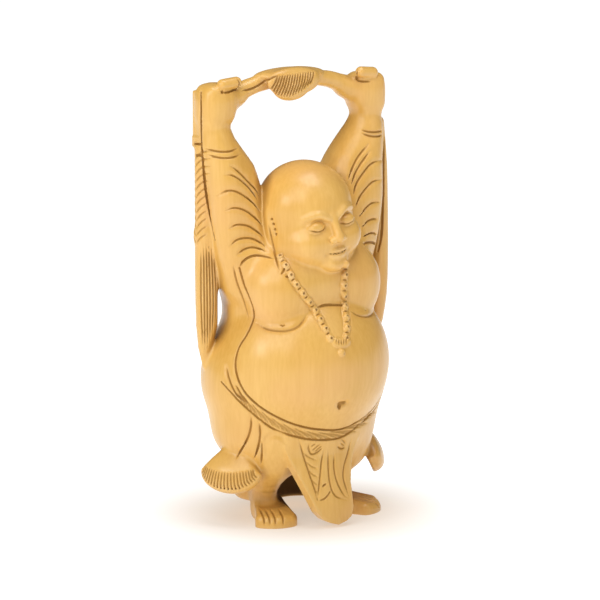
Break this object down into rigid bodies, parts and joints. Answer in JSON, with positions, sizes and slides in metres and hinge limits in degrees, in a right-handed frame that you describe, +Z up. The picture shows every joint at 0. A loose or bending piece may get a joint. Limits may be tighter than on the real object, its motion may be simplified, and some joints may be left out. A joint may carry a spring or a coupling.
{
  "type": "budai figure",
  "caption": "Carved wooden budai: a round-bellied laughing monk standing with both arms raised, holding a fringed cloth and a whisk overhead",
  "frame": {"origin": "on the ground under the middle of the figure's bounding box", "axes": "+Z up, -Y is the way the figure faces, +X towards its left side; metres"},
  "size_m": [0.125, 0.0983, 0.2494],
  "materials": {
    "wood": "satin"
  },
  "bodies": {
    "root": {"budai_figure": "wood"}
  },
  "joints": []
}
